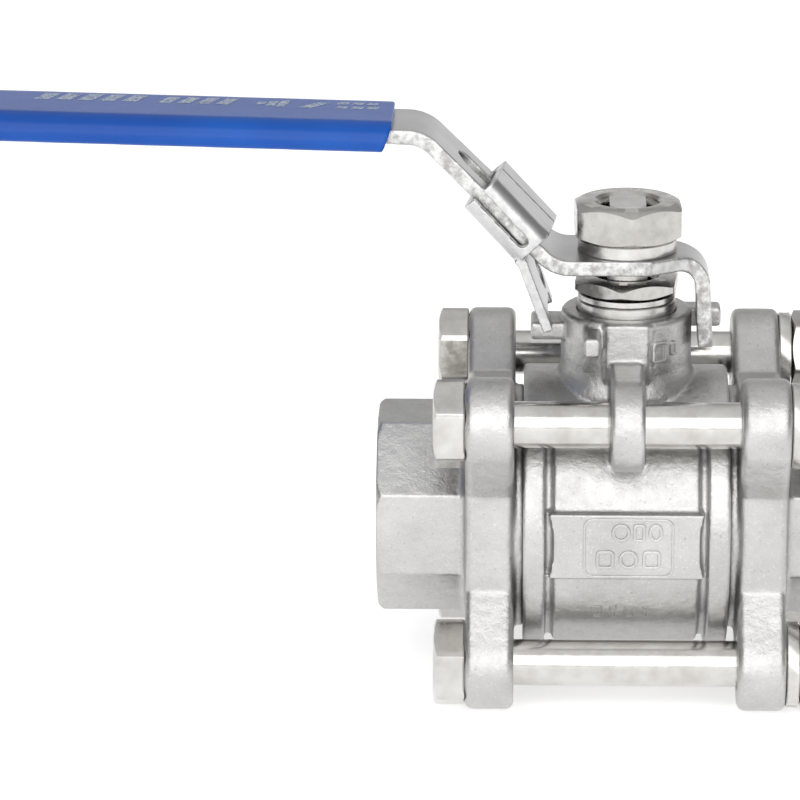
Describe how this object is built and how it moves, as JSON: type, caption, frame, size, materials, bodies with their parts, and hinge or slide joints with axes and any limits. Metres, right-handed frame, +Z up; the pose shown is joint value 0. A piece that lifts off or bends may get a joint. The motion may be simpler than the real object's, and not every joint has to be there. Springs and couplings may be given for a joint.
{
  "type": "three-piece ball valve",
  "caption": "Stainless three-piece ball valve with octagonal threaded ends, a bent sheet lever with a blue grip and a sliding lock; the lever turns the ball a quarter turn.",
  "frame": {"origin": "centre of the inlet port's face, on the pipe axis", "axes": "+X along the flow, out of the outlet port; +Z up along the stem; +Y away from the side that carries the size plate; the handle lies towards -X when the valve is open"},
  "size_m": [0.1715, 0.055, 0.0957],
  "materials": {
    "cast_steel": "bead-blasted cast stainless steel, satin",
    "turned_steel": "turned stainless steel, semi-bright",
    "polished_steel": "bright stainless steel",
    "sheet_steel": "stamped stainless sheet, satin with bright sheared edges",
    "ptfe": "smooth white PTFE",
    "blue_vinyl": "glossy dipped blue vinyl"
  },
  "bodies": {
    "housing": {"body_housing": "cast_steel", "inlet_cap": "cast_steel", "outlet_cap": "cast_steel", "inlet_seat": "ptfe", "outlet_seat": "ptfe", "inlet_gasket": "ptfe", "outlet_gasket": "ptfe", "thrust_washer": "ptfe", "packing_lower": "ptfe", "packing_middle": "ptfe", "packing_upper": "ptfe", "gland_ring": "turned_steel", "bolt_front_upper": "polished_steel", "bolt_washer_front_upper": "turned_steel", "bolt_nut_front_upper": "polished_steel", "bolt_front_lower": "polished_steel", "bolt_washer_front_lower": "turned_steel", "bolt_nut_front_lower": "polished_steel", "bolt_back_upper": "polished_steel", "bolt_washer_back_upper": "turned_steel", "bolt_nut_back_upper": "polished_steel", "bolt_back_lower": "polished_steel", "bolt_washer_back_lower": "turned_steel", "bolt_nut_back_lower": "polished_steel"},
    "handle": {"stem": "turned_steel", "spring_disc_lower": "turned_steel", "spring_disc_upper": "turned_steel", "gland_nut": "polished_steel", "lever": "sheet_steel", "grip_sleeve": "blue_vinyl", "lever_washer": "turned_steel", "lever_nut": "polished_steel"},
    "ball": {"ball": "polished_steel"},
    "lock": {"lock_slide": "sheet_steel"}
  },
  "joints": [
    {"name": "handle_turn", "type": "hinge", "parent": "housing", "child": "handle", "pos_m": [0.04, 0, 0.042], "axis": [0, 0, -1], "range_deg": [0, 90]},
    {"name": "ball_turn", "type": "hinge", "parent": "housing", "child": "ball", "pos_m": [0.04, 0, 0], "axis": [0, 0, -1], "range_deg": [0, 90]},
    {"name": "lock_travel", "type": "slide", "parent": "handle", "child": "lock", "axis": [-0.7071, 0, 0.7071], "range_m": [-0.00185, 0.008]}
  ],
  "couplings": [
    {"joint": "ball_turn", "follows": "handle_turn", "ratio": 1}
  ]
}
